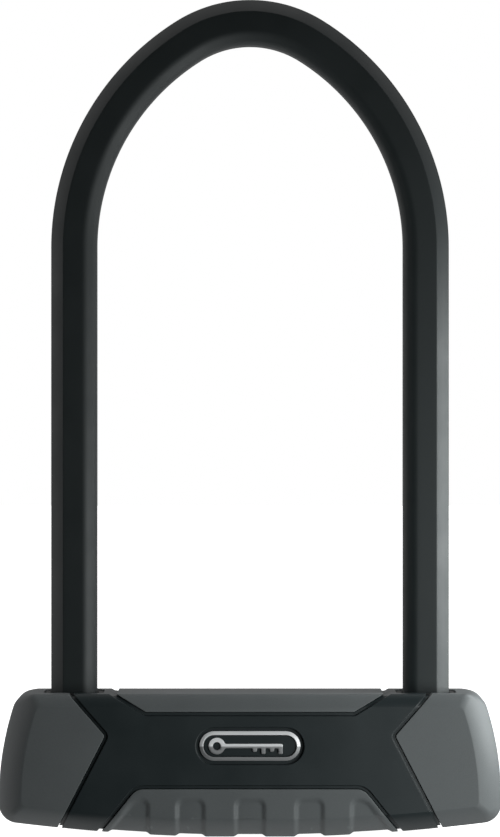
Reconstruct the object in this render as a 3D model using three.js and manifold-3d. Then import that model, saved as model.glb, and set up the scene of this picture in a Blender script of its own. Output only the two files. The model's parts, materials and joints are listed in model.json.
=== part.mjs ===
// U lock: a plastic-sleeved steel shackle that plugs into a covered crossbar body.
// Millimetres. Origin at the bottom centre, +X along the crossbar, -Y to the front, +Z up the legs.
// The lock is drawn closed with its two bolts drawn back.

import * as THREE from 'three';
import { mergeVertices } from 'three/addons/utils/BufferGeometryUtils.js';
import Module from 'manifold-3d';

const wasm = await Module();
wasm.setup();

// ---------- Driving dimensions ----------

const GAP = 0.3;                 // clearance between neighbouring pieces
const RUNNING = 0.4;             // clearance round a piece that slides
const OVERSHOOT = 1;             // how far a cutting tool runs past what it cuts

// Sides of round pieces, of the holes they sit in, and of small pins and rings
const ROUND_SIDES = 32;
const HOLE_SIDES = 24;
const RING_SIDES = 16;
const PIN_SIDES = 12;

// Shackle: straight legs, a side arc on each leg and a tighter arc over the top
const LEG_X = 62;                // half the distance between the legs' centre lines
const SIDE_ARC_R = 86.2;
const TOP_ARC_R = 40.7;
const ARCH_START_Z = 206.7;
const ARC_STEPS = 8;             // facets in each of the three arcs
const BAR_R = 6.5;               // 13 mm hardened bar
const BAR_SIDES = 16;
const FOOT_TIP_Z = 15;
const FOOT_TAPER = 3;
const FOOT_TIP_R = 4.7;
const SLEEVE_WIDTH = 16.1;       // across the leg, in the plane of the U
const SLEEVE_DEPTH = 16;
const SLEEVE_CHAMFER = 4.4;      // on the outside of the U
const SLEEVE_INNER_WIDTH = 3.9;    // the inner chamfers are wider than they are deep
const SLEEVE_INNER_DEPTH = 2.2;
const SLEEVE_END_Z = 46.7;

// Body outline seen from the front: flat top and base joined by tangent arcs
const BODY_HALF_DEPTH = 19;
const BODY_TOP_Z = 50.3;
const BODY_HALF_LENGTH = 88.1;
const WIDEST_Z = 13;
const SIDE_R = 107;
const TOP_CORNER_R = 7;
const BASE_CORNER_R = 6.5;
const BASE_R = 670;
const BASE_FLAT_HALF = 16.4;
const TOP_CHAMFER = 4.7;          // along the front and rear edges of the body, seen from the front
const TOP_CHAMFER_DEPTH = 2.6;
const SIDE_CHAMFER = 8.4;         // as deep as it is wide
const BASE_CHAMFER = 6.7;

// Walls: an outer panel layer over a black base layer
const PANEL = 1.6;
const BASE_LAYER = 2;
const BASE_INSET = PANEL + GAP;
const CAVITY_INSET = BASE_INSET + BASE_LAYER;
const GROOVE = 1.3;              // between neighbouring panels

// Steel housing inside the body: a rectangular tube, 38 mm high and 29 mm deep
const HOUSING_HALF_LENGTH = 74;
const HOUSING_HALF_DEPTH = 14.6;
const HOUSING_WALL = 2.6;
const HOUSING_BOTTOM_Z = 8.2;
const HOUSING_TOP_Z = BODY_TOP_Z - CAVITY_INSET - RUNNING;
const HOUSING_ROUND = 4;
const PLUG_LENGTH = 3;

// Bolts and the cam that drives them
const BOLT_TRAVEL = 5.5;
const CAM_TURN = Math.PI / 2;
const BOLT_HALF_DEPTH = 5;
const BOLT_BOTTOM_Z = 34.5;
const BOLT_TOP_Z = 41.3;
const BOLT_TIP_X = LEG_X - BAR_R - RUNNING;
const DRIVE_PIN_R = 1.5;
const DRIVE_PIN_X = 3;           // pin's distance from the cam's axis, bolts drawn back
const CAM_R = 11.6;
const CAM_BOTTOM_Z = 30.6;
const CAM_TOP_Z = BOLT_BOTTOM_Z - RUNNING;
const CAM_HUB_R = 6.5;
const CAM_HUB_Z = 27;
const CAM_SLOT_DEPTH = 2.5;
const CAM_SLOT_STEPS = 10;
const DRIVE_PIN_TOP_Z = 39;
const BOLT_GUIDE_FROM = 22;
const BOLT_GUIDE_TO = 46;
const BOLT_GUIDE_FLOOR = 3.5;
const FOOT_GUIDE_X = 61.3;
const FOOT_GUIDE_HALF_LENGTH = 9.3;
const FOOT_GUIDE_TOP_Z = 33;

// Lock cylinder, upright in the middle of the body with its keyway at the underside
const CYLINDER_R = 11;
const BORE_R = 8.6;
const CORE_R = BORE_R - GAP;
const CORE_INNER_R = 7;
const DISC_R = CORE_INNER_R - GAP;
const CYLINDER_BOTTOM_Z = CAVITY_INSET + GAP;
const CYLINDER_TOP_Z = 26.6;
const NOSE_R = 7.1;
const LIP = 0.8;
const KEYWAY_WIDTH = 2.6;
const KEYWAY_LENGTH = 8.4;
const TAIL_WIDTH = 5;
const TAIL_TOP_Z = 29.6;
const DISC_COUNT = 6;
const DISC_THICKNESS = 1.5;
const SPACER_THICKNESS = 0.5;
const DRILL_GUARD_THICKNESS = 2;
const SIDEBAR_WIDTH = 2;
const SIDEBAR_TRAVEL = 1;
const SIDEBAR_IN_GATE = 0.5;     // how far the drawn-in sidebar reaches into the discs' gates
const RETAINING_PIN_R = 1.6;
const RETAINING_PIN_Z = 20;
const PIN_INNER_Y = 9.8;

// Keyhole cover on the underside, with a shutter that a thumb nib slides clear of the keyway
const ESCUTCHEON_R = 9.3;
const ESCUTCHEON_Z = 0.6;
const ESCUTCHEON_THICKNESS = 1.4;
const WINDOW_WIDTH = 3.8;
const SHUTTER_THICKNESS = 1.2;
const SHUTTER_TRAVEL = 3.8;
const SHUTTER_HALF_WIDTH = 4.4;
const BLADE_FROM_X = -2.4;
const BLADE_TO_X = 2;
const NECK_HALF_WIDTH = 1.6;
const NIB_FROM_X = 3.2;
const NIB_TO_X = 4.4;
const NIB_HALF_WIDTH = 0.6;

// Collar round each leg, badge on the front
const COLLAR_WIDTH = 20.4;
const COLLAR_ROUND = 3;
const COLLAR_TOP_Z = 49.9;
const BADGE_Z = 32.2;
const BADGE_LENGTH = 35.2;
const BADGE_HEIGHT = 10.3;
const BADGE_RIM = 1.3;
const BADGE_MOAT = 1.4;
const BADGE_DEPTH = 1.4;         // depth of the recess that holds the badge

const BADGE_RIM_FRONT = 0.2 - BODY_HALF_DEPTH;
const BADGE_PLATE_FRONT = 0.9 - BODY_HALF_DEPTH;
const EMBLEM_REACH = 11.5;       // ring centre and last tooth, either side of the middle
const EMBLEM_RING_R = 2.9;
const EMBLEM_STROKE = 1.5;
const EMBLEM_TOOTH_DROPS = [2.8, 2, 2.8, 2];

// Corners of the grey panels in X and Z; a panel that meets an edge of the body runs on past it
const CAP_CORNERS = [[49.9, 35.8], [68, 0.7], [68, -9], [100, -9], [100, 60], [71.1, 60]];
const CAP_ROUND = 2;
const TRIM_CORNERS = [[-36.5, 43.4], [36.5, 43.4], [62.6, 59], [-62.6, 59]];
const TRIM_ROUND = 0.8;
const GRIP_CORNERS = [[-40, 17.8], [-61.9, -9.5], [61.9, -9.5], [40, 17.8]];
const GRIP_ROUND = 6;

// Finger channels across the bottom grip
const CHANNEL_DEPTH = 0.9;
const CHANNEL_TOP_Z = 13.2;
const MIDDLE_CHANNEL_HALF_WIDTH = 4.9;
const SIDE_CHANNEL_X = 20.8;
const SIDE_CHANNEL_HALF_WIDTH = 4.6;
const END_CHANNEL_FROM_X = 35.6;
const END_CHANNEL_TOP_TO_X = 40.6;
const END_CHANNEL_BASE_TO_X = 51;

// ---------- Outlines ----------

// Points along an arc, first and last included; angles in radians, anticlockwise
function arc(x, y, radius, from, to, steps) {
  const points = [];
  for (let i = 0; i <= steps; i += 1) {
    const angle = from + (to - from) * i / steps;
    points.push(new THREE.Vector2(x + radius * Math.cos(angle), y + radius * Math.sin(angle)));
  }
  return points;
}

function circle(radius, sides, x = 0, y = 0) {
  return arc(x, y, radius, 0, 2 * Math.PI, sides).slice(0, -1);
}

// Moves every side of a closed anticlockwise outline outwards by distance
function grow(points, distance) {
  const count = points.length;
  return points.map((point, i) => {
    const before = point.clone().sub(points[(i + count - 1) % count]).normalize();
    const after = points[(i + 1) % count].clone().sub(point).normalize();
    const miter = new THREE.Vector2(before.y + after.y, -before.x - after.x).normalize();
    const spread = miter.dot(new THREE.Vector2(before.y, -before.x));
    return point.clone().addScaledVector(miter, distance / spread);
  });
}

// Replaces each corner of a closed outline by an arc of the given radius
function roundCorners(points, radius, steps = 2) {
  const count = points.length;
  return points.flatMap((point, i) => {
    const back = points[(i + count - 1) % count].clone().sub(point).normalize();
    const on = points[(i + 1) % count].clone().sub(point).normalize();
    const halfAngle = Math.acos(back.dot(on)) / 2;
    const bisector = back.clone().add(on).normalize();
    const centre = point.clone().addScaledVector(bisector, radius / Math.sin(halfAngle));
    const start = point.clone().addScaledVector(back, radius / Math.tan(halfAngle)).sub(centre);
    const end = point.clone().addScaledVector(on, radius / Math.tan(halfAngle)).sub(centre);
    const turn = Math.atan2(start.cross(end), start.dot(end));
    const first = start.angle();
    return arc(centre.x, centre.y, radius, first, first + turn, steps);
  });
}

function rectangle(halfWidth, halfHeight, x = 0, y = 0) {
  return [
    new THREE.Vector2(x - halfWidth, y - halfHeight),
    new THREE.Vector2(x + halfWidth, y - halfHeight),
    new THREE.Vector2(x + halfWidth, y + halfHeight),
    new THREE.Vector2(x - halfWidth, y + halfHeight),
  ];
}

function stadium(length, height, x, y, steps = 6) {
  const radius = height / 2;
  const reach = length / 2 - radius;
  return [
    ...arc(x + reach, y, radius, -Math.PI / 2, Math.PI / 2, steps),
    ...arc(x - reach, y, radius, Math.PI / 2, 3 * Math.PI / 2, steps),
  ];
}

function mirrored(points) {
  return points.map((point) => new THREE.Vector2(-point.x, point.y)).reverse();
}

function toShape(points, holes = []) {
  const shape = new THREE.Shape(points);
  shape.holes = holes.map((hole) => new THREE.Path(hole));
  return shape;
}

// ---------- Solids ----------

function toSolid(geometry) {
  geometry.deleteAttribute('normal');
  geometry.deleteAttribute('uv');
  const merged = mergeVertices(geometry, 1e-4);
  return new wasm.Manifold(new wasm.Mesh({
    numProp: 3,
    vertProperties: new Float32Array(merged.attributes.position.array),
    triVerts: new Uint32Array(merged.index.array),
  }));
}

function toGeometry(solid) {
  const mesh = solid.getMesh();
  const geometry = new THREE.BufferGeometry();
  geometry.setAttribute('position', new THREE.BufferAttribute(mesh.vertProperties, 3));
  geometry.setIndex(new THREE.BufferAttribute(mesh.triVerts, 1));
  geometry.computeVertexNormals();
  return geometry;
}

function joined(...solids) {
  return solids.reduce((whole, solid) => whole.add(solid));
}

function cut(solid, ...tools) {
  return tools.reduce((left, tool) => left.subtract(tool), solid);
}

// Outline in X and Y, standing from one height to another
function upright(points, bottom, top, holes = []) {
  const geometry = new THREE.ExtrudeGeometry(toShape(points, holes), {
    depth: top - bottom,
    bevelEnabled: false,
  });
  geometry.translate(0, 0, bottom);
  return toSolid(geometry);
}

// Outline in X and Z, running through the body from one depth to another
function through(points, front, back, holes = []) {
  const geometry = new THREE.ExtrudeGeometry(toShape(points, holes), {
    depth: back - front,
    bevelEnabled: false,
  });
  geometry.rotateX(Math.PI / 2);
  geometry.translate(0, back, 0);
  return toSolid(geometry);
}

// Outline in Y and Z, running along the crossbar from one X to another
function lengthways(points, left, right, holes = []) {
  const geometry = new THREE.ExtrudeGeometry(toShape(points, holes), {
    depth: right - left,
    bevelEnabled: false,
  });
  const axes = new THREE.Matrix4().makeBasis(
    new THREE.Vector3(0, 1, 0),
    new THREE.Vector3(0, 0, 1),
    new THREE.Vector3(1, 0, 0),
  );
  geometry.applyMatrix4(axes);
  geometry.translate(left, 0, 0);
  return toSolid(geometry);
}

function block(x, y, z) {
  const geometry = new THREE.BoxGeometry(x[1] - x[0], y[1] - y[0], z[1] - z[0]);
  geometry.translate((x[0] + x[1]) / 2, (y[0] + y[1]) / 2, (z[0] + z[1]) / 2);
  return toSolid(geometry);
}

// Upright round piece from a profile of radius and height that starts and ends on the axis
function turned(profile, sides) {
  const points = profile.map(([radius, height]) => new THREE.Vector2(radius, height));
  const geometry = new THREE.LatheGeometry(points, sides);
  geometry.rotateX(Math.PI / 2);
  return toSolid(geometry);
}

function mirrorX(solid) {
  return solid.mirror([1, 0, 0]);
}

// ---------- Shackle ----------

// Centre line of the U: one step up the left leg, the arch in even steps, one step down
class ShacklePath extends THREE.Curve {
  constructor(endZ) {
    super();
    this.endZ = endZ;
    this.sideCentreX = SIDE_ARC_R - LEG_X;
    this.sweep = Math.acos(this.sideCentreX / (SIDE_ARC_R - TOP_ARC_R));
    this.topCentreZ = ARCH_START_Z + (SIDE_ARC_R - TOP_ARC_R) * Math.sin(this.sweep);
    this.steps = 3 * ARC_STEPS + 2;
  }

  // Even parameter steps, so that each straight leg stays a single facet
  getUtoTmapping(u) {
    return u;
  }

  place(t) {
    const step = t * this.steps - 1;
    const along = Math.min(Math.max(step, 0), 3 * ARC_STEPS) / ARC_STEPS;
    const mirror = along > 1.5 ? -1 : 1;
    const near = along > 1.5 ? 3 - along : along;
    const halfTop = Math.PI / 2 - this.sweep;
    const onSide = near <= 1;
    const angle = onSide ? near * this.sweep : this.sweep + (near - 1) * 2 * halfTop;
    const radius = onSide ? SIDE_ARC_R : TOP_ARC_R;
    const centreX = onSide ? this.sideCentreX : 0;
    const centreZ = onSide ? ARCH_START_Z : this.topCentreZ;
    const x = mirror * (centreX - radius * Math.cos(angle));
    const z = centreZ + radius * Math.sin(angle);
    const straight = step < 0 || step > 3 * ARC_STEPS;
    const leg = step < 0 ? -step : step - 3 * ARC_STEPS;
    return {
      point: new THREE.Vector3(x, 0, straight ? z + (this.endZ - z) * leg : z),
      tangent: new THREE.Vector3(Math.sin(angle), 0, mirror * Math.cos(angle)),
    };
  }

  getPoint(t, target = new THREE.Vector3()) {
    return target.copy(this.place(t).point);
  }

  getTangent(t, target = new THREE.Vector3()) {
    return target.copy(this.place(t).tangent);
  }
}

// Section x runs towards the front, section y towards the inside of the U
function sweepShackle(points, endZ, holes = []) {
  const path = new ShacklePath(endZ);
  return toSolid(new THREE.ExtrudeGeometry(toShape(points, holes), {
    steps: path.steps,
    extrudePath: path,
    bevelEnabled: false,
  }));
}

function sleeveSection(clearance = 0) {
  const halfDepth = SLEEVE_DEPTH / 2 + clearance;
  const halfWidth = SLEEVE_WIDTH / 2 + clearance;
  return [
    new THREE.Vector2(SLEEVE_CHAMFER - halfDepth, -halfWidth),
    new THREE.Vector2(halfDepth - SLEEVE_CHAMFER, -halfWidth),
    new THREE.Vector2(halfDepth, SLEEVE_CHAMFER - halfWidth),
    new THREE.Vector2(halfDepth, halfWidth - SLEEVE_INNER_WIDTH),
    new THREE.Vector2(halfDepth - SLEEVE_INNER_DEPTH, halfWidth),
    new THREE.Vector2(SLEEVE_INNER_DEPTH - halfDepth, halfWidth),
    new THREE.Vector2(-halfDepth, halfWidth - SLEEVE_INNER_WIDTH),
    new THREE.Vector2(-halfDepth, SLEEVE_CHAMFER - halfWidth),
  ];
}

function makeSleeve() {
  return sweepShackle(sleeveSection(), SLEEVE_END_Z, [circle(BAR_R + GAP, BAR_SIDES)]);
}

function makeBar() {
  const taperTop = FOOT_TIP_Z + FOOT_TAPER;
  const tip = turned([[0, FOOT_TIP_Z], [FOOT_TIP_R, FOOT_TIP_Z], [BAR_R, taperTop], [0, taperTop]],
    BAR_SIDES);
  const notchReach = BOLT_TIP_X + BOLT_TRAVEL + RUNNING;
  const notch = block([0, notchReach], [-BAR_R - OVERSHOOT, BAR_R + OVERSHOOT],
    [BOLT_BOTTOM_Z - RUNNING, BOLT_TOP_Z + RUNNING]);
  const bar = joined(
    sweepShackle(circle(BAR_R, BAR_SIDES), taperTop),
    tip.translate([LEG_X, 0, 0]),
    tip.translate([-LEG_X, 0, 0]),
  );
  return cut(bar, notch, mirrorX(notch));
}

// ---------- Body shape and its panels ----------

// Where two circles meet, on the outer (right-hand) side
function circlesMeet(centreA, radiusA, centreB, radiusB) {
  const line = centreB.clone().sub(centreA);
  const distance = line.length();
  const along = (radiusA ** 2 - radiusB ** 2 + distance ** 2) / (2 * distance);
  const across = Math.sqrt(radiusA ** 2 - along ** 2);
  line.normalize();
  const foot = centreA.clone().addScaledVector(line, along);
  return foot.add(new THREE.Vector2(-line.y, line.x).multiplyScalar(across));
}

// Front outline of the body, with its top, sides and base moved inwards by their own distances
// and its corners made tighter
function bodyOutline(top, side, base, tighter) {
  const topRound = TOP_CORNER_R - tighter;
  const baseRound = BASE_CORNER_R - tighter;
  const baseRise = BASE_R - Math.sqrt(BASE_R ** 2 - BASE_FLAT_HALF ** 2);
  const baseCentre = new THREE.Vector2(0, BASE_R - baseRise);
  const sideCentre = new THREE.Vector2(BODY_HALF_LENGTH - SIDE_R, WIDEST_Z);
  const baseCorner = circlesMeet(baseCentre, BASE_R - base - baseRound,
    sideCentre, SIDE_R - side - baseRound);
  const topCornerZ = BODY_TOP_Z - top - topRound;
  const topCornerX = sideCentre.x
    + Math.sqrt((SIDE_R - side - topRound) ** 2 - (topCornerZ - WIDEST_Z) ** 2);
  const flatEnd = -Math.acos((baseCentre.y - base) / (BASE_R - base));
  const baseEnd = Math.atan2(baseCorner.y - baseCentre.y, baseCorner.x);
  const sideStart = Math.atan2(baseCorner.y - WIDEST_Z, baseCorner.x - sideCentre.x);
  const sideEnd = Math.atan2(topCornerZ - WIDEST_Z, topCornerX - sideCentre.x);
  const right = [
    ...arc(baseCentre.x, baseCentre.y, BASE_R - base, -Math.PI / 2 - flatEnd, baseEnd, 3),
    ...arc(baseCorner.x, baseCorner.y, baseRound, baseEnd, sideStart, 3).slice(1),
    ...arc(sideCentre.x, sideCentre.y, SIDE_R - side, sideStart, sideEnd, 4).slice(1),
    ...arc(topCornerX, topCornerZ, topRound, sideEnd, Math.PI / 2, 3).slice(1),
  ];
  return [...right, ...mirrored(right)];
}

// The whole body as one block with chamfered long edges, moved inwards by inset
function bodyBlock(inset) {
  const halfDepth = BODY_HALF_DEPTH - inset;
  const widths = [TOP_CHAMFER, SIDE_CHAMFER, BASE_CHAMFER].map((width) => width - inset);
  const depths = [TOP_CHAMFER_DEPTH * widths[0] / TOP_CHAMFER, widths[1], widths[2]];
  const points = [...depths, 0].flatMap((back) => {
    const insets = widths.map((width, i) => inset + width * Math.max(1 - back / depths[i], 0));
    const tighter = Math.min(Math.max(...insets), BASE_CORNER_R - 2);
    const y = halfDepth - back;
    return bodyOutline(...insets, tighter).flatMap(({ x, y: z }) => [[x, -y, z], [x, y, z]]);
  });
  return wasm.Manifold.hull(points);
}

const outerBlock = bodyBlock(0);
const panelLayer = outerBlock.subtract(bodyBlock(PANEL));
const PAST = BODY_HALF_DEPTH + OVERSHOOT;   // past the body's front and back

// Panel outlines, front view, each rounded at its corners and moved outwards by distance
function panelOutline(corners, round, distance) {
  return grow(roundCorners(corners.map(([x, z]) => new THREE.Vector2(x, z)), round), distance);
}

function capOutline(distance) {
  return panelOutline(CAP_CORNERS, CAP_ROUND, distance);
}

function trimOutline(distance) {
  return panelOutline(TRIM_CORNERS, TRIM_ROUND, distance);
}

function gripOutline(distance) {
  return panelOutline(GRIP_CORNERS, GRIP_ROUND, distance);
}

// A piece of the outer layer, half a groove smaller than its outline
function panel(outline) {
  return panelLayer.intersect(through(outline(-GROOVE / 2), -PAST, PAST));
}

function panelRecess(outline) {
  return through(outline(GROOVE / 2), -PAST, PAST);
}

// Square hole round each leg, down to the housing's top
function collarHole(side) {
  const half = COLLAR_WIDTH / 2 + GAP;
  const height = [HOUSING_TOP_Z - GAP, BODY_TOP_Z + OVERSHOOT];
  return upright(roundCorners(rectangle(half, half, side * LEG_X), COLLAR_ROUND), ...height);
}

function keyPocket() {
  return upright(circle(ESCUTCHEON_R + GAP, HOLE_SIDES), -OVERSHOOT, CAVITY_INSET + OVERSHOOT);
}

function badgeRecess() {
  const outline = stadium(BADGE_LENGTH + 2 * BADGE_MOAT, BADGE_HEIGHT + 2 * BADGE_MOAT, 0, BADGE_Z);
  return through(outline, -PAST, BADGE_DEPTH - BODY_HALF_DEPTH);
}

function makeCap() {
  return cut(panel(capOutline), collarHole(1));
}

function makeTrim() {
  return panel(trimOutline);
}

// Channels that leave two raised finger lands on each side of the middle
function fingerChannels() {
  const channel = (halfWidth, x) => rectangle(halfWidth, CHANNEL_TOP_Z, x, 0);
  const straight = [
    channel(MIDDLE_CHANNEL_HALF_WIDTH, 0),
    channel(SIDE_CHANNEL_HALF_WIDTH, SIDE_CHANNEL_X),
    channel(SIDE_CHANNEL_HALF_WIDTH, -SIDE_CHANNEL_X),
  ];
  const slanted = [
    new THREE.Vector2(END_CHANNEL_FROM_X, -OVERSHOOT),
    new THREE.Vector2(END_CHANNEL_BASE_TO_X, -OVERSHOOT),
    new THREE.Vector2(END_CHANNEL_TOP_TO_X, CHANNEL_TOP_Z),
    new THREE.Vector2(END_CHANNEL_FROM_X, CHANNEL_TOP_Z),
  ];
  const outlines = [...straight, slanted, mirrored(slanted)];
  const tools = outlines.map((outline) => through(outline, -PAST, PAST));
  return joined(...tools).subtract(bodyBlock(CHANNEL_DEPTH));
}

function makeGrip() {
  return cut(panel(gripOutline), fingerChannels(), keyPocket());
}

// Base layer with the raised black cover, hollow inside, before it is split in two
function makeCover() {
  const recesses = [panelRecess(capOutline), mirrorX(panelRecess(capOutline)),
    panelRecess(trimOutline), panelRecess(gripOutline)];
  const raised = cut(outerBlock, ...recesses);
  const whole = joined(raised, bodyBlock(BASE_INSET));
  return cut(whole, bodyBlock(CAVITY_INSET), collarHole(1), collarHole(-1), keyPocket(),
    badgeRecess());
}

function slice(solid, fromY, toY) {
  const halfLength = BODY_HALF_LENGTH + OVERSHOOT;
  const height = [-OVERSHOOT, BODY_TOP_Z + OVERSHOOT];
  return solid.intersect(block([-halfLength, halfLength], [fromY, toY], height));
}

function frontHalf(solid) {
  return slice(solid, -PAST, -GAP / 2);
}

function rearHalf(solid) {
  return slice(solid, GAP / 2, PAST);
}

function makeCollar() {
  const half = COLLAR_WIDTH / 2;
  const outline = roundCorners(rectangle(half, half), COLLAR_ROUND);
  // The leg's section, turned so that the inside of the U faces the middle of the lock
  const hole = sleeveSection(RUNNING).map((point) => new THREE.Vector2(-point.y, point.x));
  return upright(outline, HOUSING_TOP_Z + GAP, COLLAR_TOP_Z, [hole]).translate([LEG_X, 0, 0]);
}

// ---------- Badge ----------

const badgeBack = BADGE_DEPTH - GAP - BODY_HALF_DEPTH;

function makeBadgeRim() {
  const outline = stadium(BADGE_LENGTH, BADGE_HEIGHT, 0, BADGE_Z);
  const hole = stadium(BADGE_LENGTH - 2 * BADGE_RIM, BADGE_HEIGHT - 2 * BADGE_RIM, 0, BADGE_Z);
  return through(outline, BADGE_RIM_FRONT, badgeBack, [hole]);
}

function makeBadgePlate() {
  const inset = 2 * (BADGE_RIM + GAP);
  const outline = stadium(BADGE_LENGTH - inset, BADGE_HEIGHT - inset, 0, BADGE_Z);
  return through(outline, BADGE_PLATE_FRONT, badgeBack);
}

// A plain key lying along the badge: ring, shank and a row of teeth
function makeEmblem() {
  const layer = [BADGE_RIM_FRONT, BADGE_PLATE_FRONT - GAP];
  const half = EMBLEM_STROKE / 2;
  const ring = through(circle(EMBLEM_RING_R, RING_SIDES, -EMBLEM_REACH, BADGE_Z), ...layer,
    [circle(EMBLEM_RING_R - EMBLEM_STROKE, RING_SIDES, -EMBLEM_REACH, BADGE_Z)]);
  const shankFrom = EMBLEM_RING_R - half - EMBLEM_REACH;
  const shankMiddle = (shankFrom + EMBLEM_REACH) / 2;
  const shank = through(rectangle(EMBLEM_REACH - shankMiddle, half, shankMiddle, BADGE_Z), ...layer);
  const teeth = EMBLEM_TOOTH_DROPS.map((drop, i) => {
    const x = EMBLEM_REACH - half - i * 2 * EMBLEM_STROKE;
    return through(rectangle(half, drop / 2, x, BADGE_Z - drop / 2), ...layer);
  });
  return joined(ring, shank, ...teeth);
}

// ---------- Housing ----------

const housingMiddleZ = (HOUSING_BOTTOM_Z + HOUSING_TOP_Z) / 2;
const housingHalfHeight = (HOUSING_TOP_Z - HOUSING_BOTTOM_Z) / 2;
const guideHalfDepth = HOUSING_HALF_DEPTH - HOUSING_WALL - 3 * GAP;   // clears the tube's corners
const floorZ = HOUSING_BOTTOM_Z + HOUSING_WALL;
const ceilingZ = HOUSING_TOP_Z - HOUSING_WALL;

function tubeSection(inset, round) {
  const outline = rectangle(HOUSING_HALF_DEPTH - inset, housingHalfHeight - inset,
    0, housingMiddleZ);
  return roundCorners(outline, round);
}

function makeHousing() {
  const tube = lengthways(tubeSection(0, HOUSING_ROUND), -HOUSING_HALF_LENGTH,
    HOUSING_HALF_LENGTH, [tubeSection(HOUSING_WALL, HOUSING_ROUND - HOUSING_WALL)]);
  const legHole = upright(circle(BAR_R + RUNNING, BAR_SIDES, LEG_X), ceilingZ - OVERSHOOT,
    BODY_TOP_Z);
  const cylinderHole = upright(circle(CYLINDER_R + GAP, HOLE_SIDES), 0, floorZ + OVERSHOOT);
  const pinHole = through(circle(RETAINING_PIN_R + GAP, PIN_SIDES, 0, RETAINING_PIN_Z),
    -PAST, PAST);
  return cut(tube, legHole, mirrorX(legHole), cylinderHole, pinHole);
}

function makeEndPlug() {
  const section = tubeSection(HOUSING_WALL + GAP, HOUSING_ROUND - HOUSING_WALL);
  return lengthways(section, HOUSING_HALF_LENGTH - PLUG_LENGTH, HOUSING_HALF_LENGTH);
}

// Block that steadies the foot of a leg
function makeFootGuide() {
  const outline = rectangle(FOOT_GUIDE_HALF_LENGTH, guideHalfDepth, FOOT_GUIDE_X);
  const hole = circle(BAR_R + RUNNING, BAR_SIDES, LEG_X);
  return upright(outline, floorZ + 2 * GAP, FOOT_GUIDE_TOP_Z, [hole]);
}

// Block with a slot that a bolt slides through
function makeBoltGuide() {
  const bottom = BOLT_BOTTOM_Z - BOLT_GUIDE_FLOOR;
  const top = ceilingZ - GAP;
  const outline = rectangle(guideHalfDepth, (top - bottom) / 2, 0, (top + bottom) / 2);
  const slot = rectangle(BOLT_HALF_DEPTH + GAP, (BOLT_TOP_Z - BOLT_BOTTOM_Z) / 2 + GAP,
    0, (BOLT_TOP_Z + BOLT_BOTTOM_Z) / 2);
  return lengthways(outline, BOLT_GUIDE_FROM, BOLT_GUIDE_TO, [slot]);
}

// ---------- Bolts and cam ----------

function makeBolt() {
  const bar = block([GAP, BOLT_TIP_X], [-BOLT_HALF_DEPTH, BOLT_HALF_DEPTH],
    [BOLT_BOTTOM_Z, BOLT_TOP_Z]);
  const pinHole = upright(circle(DRIVE_PIN_R + GAP, PIN_SIDES, DRIVE_PIN_X),
    0, DRIVE_PIN_TOP_Z + GAP);
  return cut(bar, pinHole);
}

function makeDrivePin() {
  const bottom = CAM_TOP_Z - CAM_SLOT_DEPTH + GAP;
  return upright(circle(DRIVE_PIN_R, PIN_SIDES, DRIVE_PIN_X), bottom, DRIVE_PIN_TOP_Z);
}

// Slot whose radius grows evenly with its angle, so that an even turn drives an even slide
function spiralSlot(startAngle) {
  const rise = BOLT_TRAVEL / CAM_TURN;
  const half = DRIVE_PIN_R + GAP;
  const onSpiral = (turn) => {
    const radius = DRIVE_PIN_X + rise * turn;
    const angle = startAngle - turn;
    return new THREE.Vector2(radius * Math.cos(angle), radius * Math.sin(angle));
  };
  const outer = [];
  const inner = [];
  for (let i = 0; i <= CAM_SLOT_STEPS; i += 1) {
    const turn = CAM_TURN * i / CAM_SLOT_STEPS;
    const radius = DRIVE_PIN_X + rise * turn;
    const angle = startAngle - turn;
    const middle = onSpiral(turn);
    const heading = new THREE.Vector2(
      rise * Math.cos(angle) + radius * Math.sin(angle),
      rise * Math.sin(angle) - radius * Math.cos(angle),
    ).normalize();
    const side = new THREE.Vector2(-heading.y, heading.x);
    outer.push(middle.clone().addScaledVector(side, half));
    inner.push(middle.clone().addScaledVector(side, -half));
  }
  const floor = CAM_TOP_Z - CAM_SLOT_DEPTH;
  const top = CAM_TOP_Z + OVERSHOOT;
  const channel = upright([...inner, ...outer.reverse()], floor, top);
  const ends = [0, CAM_TURN].map((turn) => {
    const end = onSpiral(turn);
    return upright(circle(half, RING_SIDES, end.x, end.y), floor, top);
  });
  return joined(channel, ...ends);
}

function makeCam() {
  const disc = turned([[0, CAM_HUB_Z], [CAM_HUB_R, CAM_HUB_Z], [CAM_HUB_R, CAM_BOTTOM_Z],
    [CAM_R, CAM_BOTTOM_Z], [CAM_R, CAM_TOP_Z], [0, CAM_TOP_Z]], ROUND_SIDES);
  const half = TAIL_WIDTH / 2 + GAP;
  const socket = upright(rectangle(half, half), CAM_HUB_Z - OVERSHOOT, TAIL_TOP_Z + GAP);
  return cut(disc, socket, spiralSlot(0), spiralSlot(Math.PI));
}

// ---------- Lock cylinder ----------

function keyway(bottom, top) {
  return upright(rectangle(KEYWAY_WIDTH / 2, KEYWAY_LENGTH / 2), bottom, top);
}

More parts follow.
